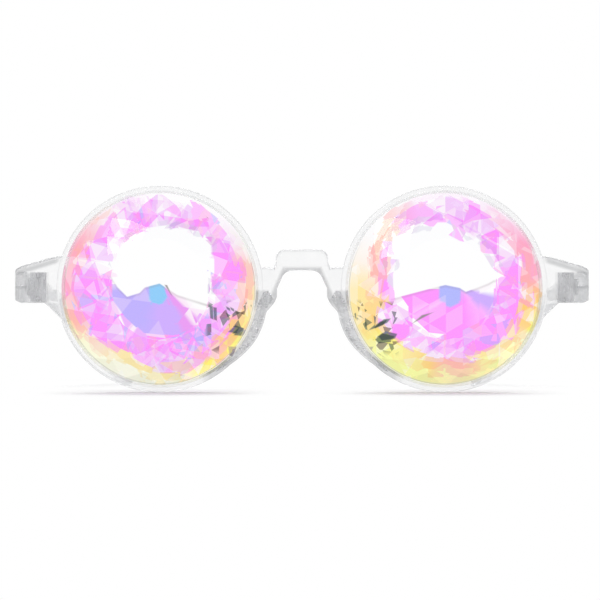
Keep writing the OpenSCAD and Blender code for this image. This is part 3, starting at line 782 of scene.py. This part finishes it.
# Away from these feet the floor turns from its own shading to plain white, twice as soon sideways
SHADE_FADE = (20.0 * MM, 70.0 * MM)
SHADE_SCALES = (2.0, 1.0, 1.0)
# What the lamps point at
AIM = (0.0, -30.0 * MM, 20.0 * MM)


def sees_background(tree):
    """1 for the rays that show the background: from the camera, off gloss and through glass."""
    path = tree.nodes.new("ShaderNodeLightPath").outputs
    return largest(tree, path["Is Camera Ray"], path["Is Glossy Ray"], path["Is Transmission Ray"])


def shader_mix(tree, share, first, second):
    node = tree.nodes.new("ShaderNodeMixShader")
    as_input(tree, share, node.inputs[0])
    tree.links.new(first, node.inputs[1])
    tree.links.new(second, node.inputs[2])
    return node.outputs[0]


def background(tree, colour, strength):
    node = tree.nodes.new("ShaderNodeBackground")
    as_input(tree, rgba(colour), node.inputs["Color"])
    node.inputs["Strength"].default_value = strength
    return node.outputs[0]


def make_world():
    """White for the camera, with grey above and below the horizon for gloss and glass, and an even fill."""
    world = bpy.data.worlds.new("studio")
    scene.world = world
    world.use_nodes = True
    tree = world.node_tree
    tree.nodes.clear()
    direction = parts_of(tree, tree.nodes.new("ShaderNodeTexCoord").outputs["Generated"])
    lift = number(tree, "ABSOLUTE", direction[2])
    around = blend(tree, span(tree, lift, *HORIZON_FADE), WHITE, GREY)
    from_camera = tree.nodes.new("ShaderNodeLightPath").outputs["Is Camera Ray"]
    show = background(tree, blend(tree, from_camera, around, WHITE), 1.0)
    fill = background(tree, WHITE, FILL_STRENGTH)
    out = tree.nodes.new("ShaderNodeOutputWorld")
    tree.links.new(shader_mix(tree, sees_background(tree), fill, show), out.inputs["Surface"])


def floor_material():
    """Pale matt floor that keeps the object's shadow near the feet and is white further off."""
    made, tree, shader = material("studio_floor")
    shader.inputs["Base Color"].default_value = rgba(FLOOR_GREY)
    shader.inputs["Roughness"].default_value = 0.9
    shader.inputs["Specular IOR Level"].default_value = 0.0
    glow = tree.nodes.new("ShaderNodeEmission")
    glow.inputs["Color"].default_value = rgba(WHITE)
    away = 1.0
    for foot_x, foot_y in ((LENS_X, FRONT_Y + RIM_MIDDLE), (HOOK_X, HOOK_Y)):
        for turn in (-1.0, 1.0):
            offset = vector(tree, "SUBTRACT", place_of(tree), (turn * foot_x, foot_y, 0.0))
            gap = vector(tree, "LENGTH", vector(tree, "MULTIPLY", offset, SHADE_SCALES))
            away = number(tree, "MINIMUM", span(tree, gap, *SHADE_FADE), away)
    mixed = shader_mix(tree, times(tree, sees_background(tree), away), shader.outputs[0], glow.outputs[0])
    tree.links.new(mixed, tree.nodes["Material Output"].inputs["Surface"])
    return made


def make_floor():
    bpy.ops.mesh.primitive_circle_add(
        vertices=64, radius=FLOOR_RADIUS, fill_type="NGON", location=(0.0, 0.0, FLOOR_Z))
    floor = bpy.context.object
    floor.name = "studio_floor"
    floor.data.materials.append(floor_material())


def softbox(name, place, size, power):
    """A rectangular lamp that points at the object."""
    lamp = bpy.data.lights.new(name, "AREA")
    lamp.shape = "RECTANGLE"
    lamp.size, lamp.size_y = size
    lamp.energy = power
    holder = bpy.data.objects.new(name, lamp)
    scene.collection.objects.link(holder)
    holder.location = place
    holder.rotation_mode = "QUATERNION"
    holder.rotation_quaternion = (Vector(AIM) - Vector(place)).to_track_quat("-Z", "Y")


make_world()
make_floor()
softbox("softbox_top", place=(0.0, 0.70, 0.85), size=(0.9, 0.6), power=7.0)
softbox("softbox_front", place=(-0.5, -0.9, 0.7), size=(0.5, 0.5), power=3.0)


# Camera

VIEW_WIDTH = 156.0 * MM
DISTANCE = 1300.0 * MM
SENSOR = 36.0
# What the middle of the picture shows
VIEW_X = -0.52 * MM
VIEW_Z = 24.04 * MM

camera = bpy.data.cameras.new("camera")
camera.sensor_width = SENSOR
camera.lens = SENSOR * DISTANCE / VIEW_WIDTH
holder = bpy.data.objects.new("camera", camera)
scene.collection.objects.link(holder)
holder.location = (VIEW_X, FRONT_Y - DISTANCE, VIEW_Z)
holder.rotation_euler = (math.radians(90.0), 0.0, 0.0)
scene.camera = holder
scene.view_settings.view_transform = "Standard"

bpy.context.view_layer.update()
